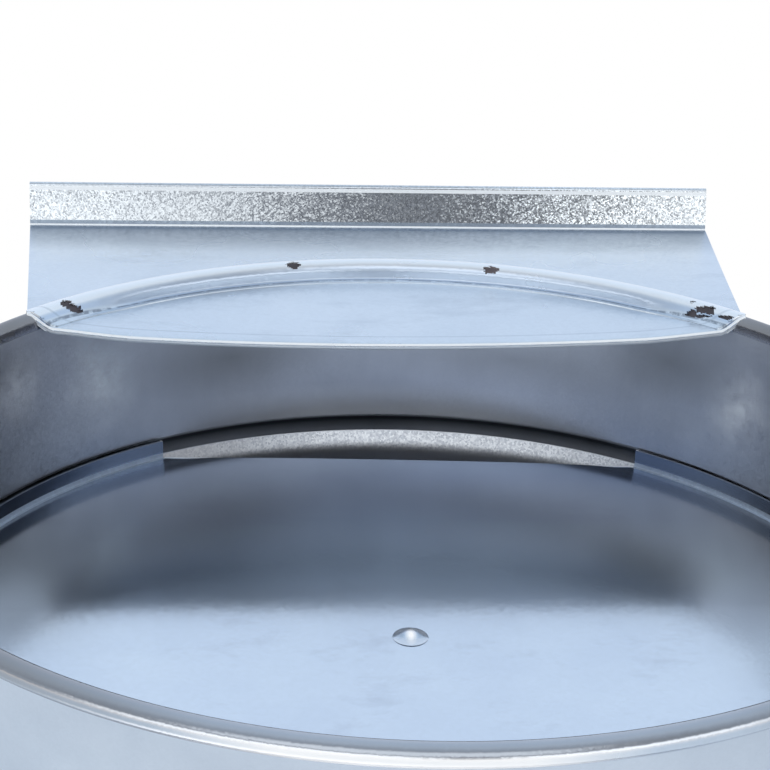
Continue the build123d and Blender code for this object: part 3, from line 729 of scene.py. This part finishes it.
def make_gate_rivet():
    """Rivet with a domed head above the disc and a clenched head under its washer."""
    low = gate_floor - SHEET - GATE_WASHER
    profile = [(HEAD_R * i / 16 + SPECK, gate_floor + HEAD_DOME * (1 - (i / 16) ** 2) ** 1.4 - HEAD_SEAT)
               for i in range(17)]
    profile += [(SHANK_R, gate_floor), (SHANK_R, low), (CLENCH_R, low), (3.0 * MM, low - 0.9 * MM),
                (2.2 * MM, low - CLENCH_DEPTH), (SPECK, low - CLENCH_DEPTH)]
    verts, faces = turn_section([Vector(p) for p in profile], (GATE_SHIFT, 0.0), turns=48)
    rivet = new_object("gate_rivet_head", verts, faces, "gate", head_metal)
    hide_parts("gate_rivet")


# ---- hanger plate
def ease(value, low, high):
    """Smooth step from 0 at low to 1 at high."""
    t = min(max((value - low) / (high - low), 0.0), 1.0)
    return t * t * (3 - 2 * t)


def tongue_level(x, y):
    """Mid-surface height of the sagging tongue inside the mouth."""
    lift = CORNER_LIFT * ease(abs(x), 70 * MM, 100 * MM)
    return tongue_rim - TONGUE_SLOPE * (flank_r - y) + x * x / (2 * tongue_bend_r) + lift


def softness(x, y):
    """How far the flank has faded into a gentle swell: 0 at the back, 1 at the corners."""
    return ease(abs(math.degrees(math.atan2(x, y))), 33.0, 47.0)


def swell(r, inside):
    """Height of the faded flank between the tongue and the crest of the ridge."""
    return inside + (mouth_z + ridge_mid - inside) * ease(r, flank_r - RIDGE_LEAD, mouth_r)


def ridge_section(inside, soft):
    """Mid-line of the ridge: bend, flank, arch and outer foot, as radius and height."""
    bend = PLATE_BEND
    section = [Vector((flank_r - RIDGE_LEAD, inside)), Vector((flank_r - 1.8 * MM, inside))]
    for i in range(7):
        a = math.pi / 2 * i / 6
        section.append(Vector((flank_r - bend + bend * math.sin(a), inside + bend - bend * math.cos(a))))
    low = section[-1].y
    section += [Vector((flank_r, low + (mouth_z - low) * i / 4)) for i in range(1, 4)]
    crest = len(section) + 14
    for i in range(25):
        a = math.radians(180 - 145 * i / 24)
        section.append(Vector((mouth_r + ridge_mid * math.cos(a), mouth_z + ridge_mid * math.sin(a))))
    for i in range(crest + 1):
        r = flank_r - RIDGE_LEAD + (section[crest].x - flank_r + RIDGE_LEAD) * i / crest
        section[i] = section[i].lerp(Vector((r, swell(r, inside))), soft)
    foot = section[-1]
    drop = foot.y - plate_mid
    corner = Vector((foot.x + drop * math.tan(math.radians(35)), plate_mid))
    end = Vector((corner.x + 1.1 * MM, plate_mid))
    for i in range(1, 8):
        t = i / 7
        section.append(foot.lerp(corner, t).lerp(corner.lerp(end, t), t))
    return section


def plate_rise(x, y):
    """Mid-surface height of the plate at a plan position."""
    r = math.hypot(x, y)
    level = tongue_level(x, y)
    if r >= mouth_r + ridge_mid:
        return plate_mid
    if r >= flank_r:
        level = max(mouth_z + math.sqrt(max(ridge_mid ** 2 - (r - mouth_r) ** 2, 0)), plate_mid)
    if flank_r - RIDGE_LEAD < r < mouth_r:
        soft = softness(x, y)
        level += (swell(r, tongue_level(x, y)) - level) * soft
    return level


def plate_rows():
    """Plate as a grid of points: hem, tongue, ridge, flat, upstand and its rolled top."""
    columns = 400

    def at(u, y):
        share = (y - PLATE_FRONT_Y) / (PLATE_REAR_Y - PLATE_FRONT_Y)
        return Vector((u * (PLATE_FRONT_HALF + (PLATE_REAR_HALF - PLATE_FRONT_HALF) * share), y))

    def crossing(u, radius):
        y = radius
        for _ in range(12):
            y = math.sqrt(max(radius ** 2 - at(u, y).x ** 2, 0))
        return y

    fold_r = HEM_DROP / 2
    fold = [(HEM_WIDTH * (1 - i / 6), -HEM_DROP) for i in range(6)]
    for i in range(11):
        a = math.pi * (-0.5 - i / 10)
        fold.append((fold_r + HALF + fold_r * math.cos(a), -fold_r + fold_r * math.sin(a)))
    back_y = PLATE_REAR_Y - HALF
    lean = math.tan(UPSTAND_LEAN)
    top = Vector((PLATE_REAR_Y + UPSTAND_HEIGHT * lean - HALF, mouth_z + PLATE_LIFT + UPSTAND_HEIGHT))
    corner = [(back_y - UPSTAND_LEAD, plate_mid), (back_y, plate_mid), tuple(top)]
    rise = subdivide(bend_path(corner, [PLATE_BEND], 8), 1.2 * MM)
    roll_r = UPSTAND_ROLL - HALF
    for i in range(1, 13):
        a = math.pi * (1 - i / 12)
        rise.append(Vector((top.x + roll_r + roll_r * math.cos(a), top.y + roll_r * math.sin(a))))
    rise.append(Vector((rise[-1].x - UPSTAND_TAIL * lean, rise[-1].y - UPSTAND_TAIL)))

    table = []
    for c in range(columns + 1):
        u = -1 + 2 * c / columns
        edge = at(u, PLATE_FRONT_Y)
        room = 0.0
        while room < HEM_WIDTH and math.hypot(edge.x, edge.y + room) < flank_r - PLATE_BEND:
            room += 0.2 * MM
        share = max(min(room / HEM_WIDTH, 1.0), 0.2)
        level = plate_rise(edge.x, edge.y)
        column = [Vector((edge.x, edge.y + s * share if s > 1.2 * MM else edge.y + s, level + z)) for s, z in fold]
        first = PLATE_FRONT_Y + HALF + fold_r
        inner = crossing(u, flank_r - RIDGE_LEAD)
        for i in range(1, 31):
            y = max(first + (inner - first) * i / 30, first)
            spot = at(u, y)
            column.append(Vector((spot.x, spot.y, plate_rise(spot.x, spot.y))))
        foot = at(u, crossing(u, flank_r))
        section = ridge_section(tongue_level(foot.x, foot.y), softness(foot.x, foot.y))
        for p in section:
            y = crossing(u, p.x)
            spot = at(u, max(y, first))
            height = p.y if y >= first else plate_rise(spot.x, spot.y)
            column.append(Vector((spot.x, spot.y, height)))
        outer = max(crossing(u, section[-1].x), first)
        for i in range(1, 30):
            spot = at(u, outer + (back_y - UPSTAND_LEAD - outer) * i / 30)
            column.append(Vector((spot.x, spot.y, plate_mid + REAR_LIFT * (i / 30) ** 2)))
        column += [Vector((at(u, min(p.x, back_y)).x, p.x, p.y + REAR_LIFT)) for p in rise]
        table.append(column)
    return table


def grid_faces(rows, closed=False):
    """Vertices and quads of a grid of points, optionally closed along each row."""
    width = len(rows[0])
    verts = [p for row in rows for p in row]
    faces = []
    for j in range(len(rows) - 1):
        for i in range(width if closed else width - 1):
            k = (i + 1) % width
            faces.append((j * width + i, j * width + k, (j + 1) * width + k, (j + 1) * width + i))
    return verts, faces


def grid_normals(rows):
    """Unit normal at every point of a grid, stepping over points that coincide."""
    height, width = len(rows), len(rows[0])
    normals = []
    for j in range(height):
        line = []
        for i in range(width):
            reach = 1
            normal = Vector((0, 0, 0))
            while normal.length < 1e-12 and reach < 60:
                a, b = rows[max(j - reach, 0)][i], rows[min(j + reach, height - 1)][i]
                c, d = rows[j][max(i - reach, 0)], rows[j][min(i + reach, width - 1)]
                normal = (b - a).cross(d - c)
                reach += 1
            line.append(normal.normalized())
        normals.append(line)
    return normals


def thick_grid(rows, high, low, kept):
    """Closed sheet between two offsets from a grid of points, made of the kept cells only."""
    height, width = len(rows), len(rows[0])
    normals = grid_normals(rows)
    verts = [rows[j][i] + normals[j][i] * offset
             for offset in (high, low) for j in range(height) for i in range(width)]
    count = height * width
    faces = []
    for j, i in sorted(kept):
        ring = (j * width + i, j * width + i + 1, (j + 1) * width + i + 1, (j + 1) * width + i)
        faces.append(ring)
        faces.append(tuple(count + k for k in reversed(ring)))
        beyond = ((j - 1, i), (j, i + 1), (j + 1, i), (j, i - 1))
        for side, (a, b) in enumerate(zip(ring, ring[1:] + ring[:1])):
            if beyond[side] not in kept:
                faces.append((b, a, count + a, count + b))
    return verts, faces


def torn_outline(rng, length, width, turn, rough, points=16):
    """Irregular closed outline for a hole punched and torn through the sheet."""
    outline = []
    for k in range(points):
        a = 2 * math.pi * k / points
        share = 1 + rough * (rng.random() - 0.5) * 2
        x, y = length / 2 * share * math.cos(a), width / 2 * share * math.sin(a)
        outline.append(Vector((x * math.cos(turn) - y * math.sin(turn), x * math.sin(turn) + y * math.cos(turn))))
    return outline


def inside_outline(point, outline):
    """Whether a point lies inside a closed outline."""
    inside = False
    for a, b in zip(outline, outline[1:] + outline[:1]):
        if (a.y > point.y) != (b.y > point.y):
            if point.x < a.x + (point.y - a.y) / (b.y - a.y) * (b.x - a.x):
                inside = not inside
    return inside


# Clinch holes and tears, drawn as seen from the front and 24 degrees above:
# sideways place, height in that view, length, width, turn, roughness.
SEEN = math.radians(24.0)
TEAR_SEED = 7
SHADOW_DEPTHS = (-0.15 * MM, -0.30 * MM)    # dark sheet that shows through the holes
STRIP, WORN = 1, 2                          # material indices on the plate
HOLES = ((-26.6, 53.2, 5.0, 2.3, 4, 0.25), (33.0, 52.1, 5.0, 2.2, -4, 0.25),
         (-90.8, 38.6, 3.8, 2.4, -22, 0.08), (-88.6, 37.0, 3.6, 1.1, -3, 0.3), (-88.6, 37.6, 3.2, 1.0, -62, 0.3),
         (-87.9, 37.9, 1.8, 0.8, 50, 0.3),
         (91.4, 38.0, 4.6, 2.8, -10, 0.3), (88.8, 37.3, 4.4, 2.0, 30, 0.45), (90.2, 36.1, 4.2, 1.2, 5, 0.4),
         (88.4, 40.3, 1.5, 0.9, 20, 0.4), (96.9, 35.2, 5.4, 1.3, -14, 0.1))


def make_plate():
    """Hanger plate with its ridge, hems and the torn clinch holes that hold it to the mouth."""
    rng = random.Random(TEAR_SEED)
    rows = plate_rows()
    outlines = []
    for x, h, length, width, turn, rough in HOLES:
        middle = Vector((x * MM, h * MM))
        hole = torn_outline(rng, length * MM, width * MM, math.radians(turn), rough)
        outlines.append([middle + p for p in hole])
    kept, torn = set(), set()
    for j in range(len(rows) - 1):
        for i in range(len(rows[0]) - 1):
            centre = (rows[j][i] + rows[j + 1][i + 1]) / 2
            r = math.hypot(centre.x, centre.y)
            seen = Vector((centre.x, centre.y * math.sin(SEEN) + (centre.z - mouth_z) * math.cos(SEEN)))
            on_ridge = flank_r - 2 * MM < r < mouth_r + ridge_mid and centre.y > PLATE_FRONT_Y + 1.5 * MM
            if on_ridge and any(inside_outline(seen, outline) for outline in outlines):
                torn.add((j, i))
            else:
                kept.add((j, i))
    verts, faces = thick_grid(rows, HALF, -HALF, kept)
    plate = new_object("plate_pressed", verts, faces, "hopper", plate_metal)
    mark_plate(plate.data)
    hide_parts("hanger_plate")
    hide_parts("plate_hem")
    wide = {(j + dj, i + di) for j, i in torn for dj in (-1, 0, 1) for di in (-1, 0, 1)}
    verts, faces = thick_grid(rows, *SHADOW_DEPTHS, wide)
    new_object("hole_shadows", verts, faces, "hopper", shadow_metal)
    make_burrs(rows, torn, kept, rng)


def mark_plate(mesh):
    """Worn zinc on the folds and bends, and coarser crystals on the upstand."""
    mesh.materials.append(strip_metal)
    mesh.materials.append(worn_and_highlight_metal)
    back_y = PLATE_REAR_Y - HALF
    roll_low = mouth_z + PLATE_LIFT + UPSTAND_HEIGHT + REAR_LIFT
    for face in mesh.polygons:
        x, y, z = face.center
        level = z - plate_rise(x, PLATE_FRONT_Y) if y < back_y - 20 * MM else z - plate_mid - REAR_LIFT
        if y < PLATE_FRONT_Y + 0.55 * MM:
            if level > -0.40 * MM or level < -0.85 * MM:
                face.material_index = WORN
        elif y > back_y - 0.9 * MM and -0.1 * MM < level < 1.3 * MM:
            face.material_index = WORN
        elif y > back_y and z > roll_low - 0.75 * MM and z < roll_low + 0.1 * MM and face.normal.y < 0.3:
            face.material_index = WORN
        elif y > back_y and level > 1.3 * MM:
            face.material_index = STRIP


def make_burrs(rows, torn, kept, rng):
    """Thin torn teeth standing up round the clinch holes."""
    verts, faces = [], []
    for j, i in sorted(torn):
        if not {(j - 1, i), (j, i + 1), (j + 1, i), (j, i - 1)} & kept or rng.random() < 0.8:
            continue
        a, b, c, d = rows[j][i], rows[j][i + 1], rows[j + 1][i + 1], rows[j + 1][i]
        up = (b - a).cross(d - a).normalized()
        up = up if up.z > 0 else -up
        tip = (a + c) / 2 + up * rng.uniform(0.5, 0.9) * MM
        tip += Vector((rng.uniform(-0.3, 0.3), rng.uniform(-0.3, 0.3), 0)) * MM
        k = len(verts)
        verts += [a + up * 0.1 * MM, b + up * 0.1 * MM, c + up * 0.1 * MM, d + up * 0.1 * MM, tip]
        faces += [(k + 3, k + 2, k + 1, k), (k, k + 1, k + 4), (k + 1, k + 2, k + 4), (k + 2, k + 3, k + 4),
                  (k + 3, k, k + 4)]
    new_object("torn_burrs", verts, faces, "hopper", plate_metal)


# ---- feed pan
def make_pan():
    """Pan with a raised middle and a rolled rim."""
    ring_in = PAN_BASE_R - PAN_RING
    points = [(SPECK, PAN_RAISE + HALF), (ring_in - RAISE_RUN, PAN_RAISE + HALF), (ring_in, HALF),
              (PAN_BASE_R - HALF, HALF), (pan_rim_r - curl_out + HALF, pan_rim_z)]
    path = subdivide(bend_path(points, [3 * MM, 2 * MM, 2.5 * MM]), LONGEST_RUN)
    verts, faces = turn_section(thicken(path[:-1] + curl_path(pan_rim_r, pan_rim_z)))
    pan = new_object("pan_shell", verts, faces, "pan", sheet_metal)
    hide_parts("feed_pan")


# ---- carried-over CAD nodes
def dress(name, material):
    """Give a CAD node one of the scene's materials."""
    mesh = nodes[name].data
    for i in range(len(mesh.materials)):
        mesh.materials[i] = material
    if not mesh.materials:
        mesh.materials.append(material)


def dress_nodes():
    """Zinc and steel for the pieces that keep their CAD shape."""
    for name in ("bracket_1", "bracket_2", "bracket_3"):
        dress(name, strap_metal)
    for name in ("mouth_wire", "pan_rim_wire"):
        dress(name, wire_metal)
    for name in ("cone_rivets", "bracket_rivets", "gate_washer"):
        dress(name, rivet_metal)
    for name in ("clamp_screws", "spacer_washers", "outer_washers", "wing_nut_1", "wing_nut_2", "wing_nut_3"):
        dress(name, screw_metal)
    dress("feed_cone", sheet_metal)


# ---- stage, light and camera
def make_floor():
    """Pale floor: plain diffuse near the feeder, fading to the white background."""
    bpy.ops.mesh.primitive_plane_add(size=12.0)
    floor = bpy.context.object
    floor.name = "floor"
    n = Surface("floor_pale")
    n.shader.inputs["Base Color"].default_value = (0.92, 0.93, 0.94, 1)
    n.shader.inputs["Roughness"].default_value = 0.7
    length = n.add("ShaderNodeVectorMath", operation="LENGTH")
    n.link(n.place, length.inputs[0])
    away = length.outputs["Value"]
    seen = n.add("ShaderNodeLightPath")
    white, sheen = n.add("ShaderNodeEmission"), n.add("ShaderNodeEmission")
    white.inputs["Color"].default_value = (1, 1, 1, 1)
    # metal sees the floor glow: a painted bright glare patch front-left of the feeder, bluish grey elsewhere near it,
    # white far off
    glare = n.times(n.ramp(away, 0.28, 0.44, 1.0, 0.0), n.ramp(n.x, -0.04, 0.16, 1.0, 0.0),
                    n.ramp(n.y, -0.16, -0.02, 1.0, 0.0))
    near = n.blend(glare, (0.68, 0.79, 0.90), (1.5, 1.55, 1.6))
    n.link(n.blend(n.ramp(away, 0.7, 2.6), near, WHITE), sheen.inputs["Color"])
    first, second = n.add("ShaderNodeMixShader"), n.add("ShaderNodeMixShader")
    n.link(n.times(n.ramp(away, 0.35, 0.9), seen.outputs["Is Camera Ray"]), first.inputs["Fac"])
    n.link(n.shader.outputs["BSDF"], first.inputs[1])
    n.link(white.outputs["Emission"], first.inputs[2])
    n.link(seen.outputs["Is Glossy Ray"], second.inputs["Fac"])
    n.link(first.outputs["Shader"], second.inputs[1])
    n.link(sheen.outputs["Emission"], second.inputs[2])
    n.link(second.outputs["Shader"], n.tree.nodes["Material Output"].inputs["Surface"])
    floor.data.materials.append(n.material)


def make_world():
    """White backdrop for the camera; metal sees a bright rear, a dim front and a dark patch ahead."""
    world = bpy.data.worlds.new("studio")
    bpy.context.scene.world = world
    world.use_nodes = True
    n = Tree(world.node_tree)
    back = n.tree.nodes["Background"]
    x, y, z = n.split(n.add("ShaderNodeTexCoord").outputs["Generated"])
    ahead = n.times(y, -1)

    # the room, from the front (0) to the rear (1)
    room = n.add("ShaderNodeValToRGB")
    n.link(n.math("ADD", n.times(y, 0.5), 0.5), room.inputs["Fac"])
    stops = ((0.0, (0.30, 0.32, 0.36)), (0.1, (0.33, 0.35, 0.40)), (0.3, (0.46, 0.52, 0.60)),
             (0.5, (0.62, 0.72, 0.84)), (0.75, (0.64, 0.77, 0.93)), (0.95, (0.72, 0.83, 1.0)))
    while len(room.color_ramp.elements) < len(stops):
        room.color_ramp.elements.new(0.5)
    for element, (position, colour) in zip(room.color_ramp.elements, stops):
        element.position = position
        element.color = (*colour, 1)

    # low in front: glare on both sides of a dark gap
    glare = n.blend(n.ramp(n.away(x, 0.10), 0.04, 0.13, smooth=True), (0.12, 0.13, 0.15), (1.5, 1.56, 1.6))
    low_front = n.times(n.ramp(ahead, 0.3, 0.6, smooth=True),
                        n.math("SUBTRACT", 1, n.ramp(z, 0.18, 0.30, smooth=True)))
    metal = n.blend(low_front, room.outputs["Color"], glare)

    # higher in front: a bright window between darker walls
    window = n.times(n.ramp(ahead, 0.4, 0.7, smooth=True),
                     n.math("SUBTRACT", n.ramp(z, 0.30, 0.45, smooth=True), n.ramp(z, 0.72, 0.9, smooth=True)))
    beside = n.ramp(n.away(x, -0.15), 0.38, 0.68, smooth=True)
    metal = n.blend(window, metal, n.blend(beside, (1.15, 1.22, 1.30), (0.36, 0.39, 0.43)))

    glossy = n.add("ShaderNodeLightPath").outputs["Is Glossy Ray"]
    n.link(n.blend(glossy, WHITE, metal), back.inputs["Color"])
    back.inputs["Strength"].default_value = 1.0


def make_softbox():
    """Large soft light above the rear, which the metal doesn't reflect."""
    place, aim = Vector((0.0, 0.3, 2.4)), Vector((0.0, 0.0, 0.3))
    light = bpy.data.lights.new("softbox_top", "AREA")
    light.shape = "RECTANGLE"
    light.size, light.size_y = 2.4, 1.6
    light.energy = 10.0
    lamp = bpy.data.objects.new("softbox_top", light)
    lamp.location = place
    lamp.rotation_euler = (aim - place).to_track_quat("-Z", "Y").to_euler()
    lamp.visible_glossy = False
    bpy.context.scene.collection.objects.link(lamp)


def make_camera():
    """Camera above and in front of the mouth, a little to the left, looking down into it."""
    azimuth, elevation = math.radians(5.83), math.radians(24.04)
    distance = 3.2416 * mouth_r
    turn, tip, roll = math.radians(-1.17), math.radians(-1.84), math.radians(1.85)
    lens_per_width = 1767.9 / 770
    level = distance * math.cos(elevation)
    place = Vector((-level * math.sin(azimuth), -level * math.cos(azimuth),
                    mouth_z + distance * math.sin(elevation)))
    heading, pitch = azimuth + turn, elevation + tip
    forward = Vector((math.sin(heading) * math.cos(pitch), math.cos(heading) * math.cos(pitch), -math.sin(pitch)))
    right = Vector((math.cos(heading), -math.sin(heading), 0))
    up = right.cross(forward)
    right, up = (right * math.cos(roll) + up * math.sin(roll), up * math.cos(roll) - right * math.sin(roll))
    data = bpy.data.cameras.new("camera")
    data.sensor_width = 36.0
    data.lens = data.sensor_width * lens_per_width
    data.clip_start = 0.01
    camera = bpy.data.objects.new("camera", data)
    turn_matrix = Matrix((right, up, -forward)).transposed()
    camera.matrix_world = Matrix.Translation(place) @ turn_matrix.to_4x4()
    bpy.context.scene.collection.objects.link(camera)
    bpy.context.scene.camera = camera


# ---- build
make_hopper()
make_seam()
make_lugs()
make_gate()
make_gate_rivet()
make_plate()
make_pan()
dress_nodes()
make_floor()
make_world()
make_softbox()
make_camera()
bpy.context.scene.view_settings.view_transform = "Standard"
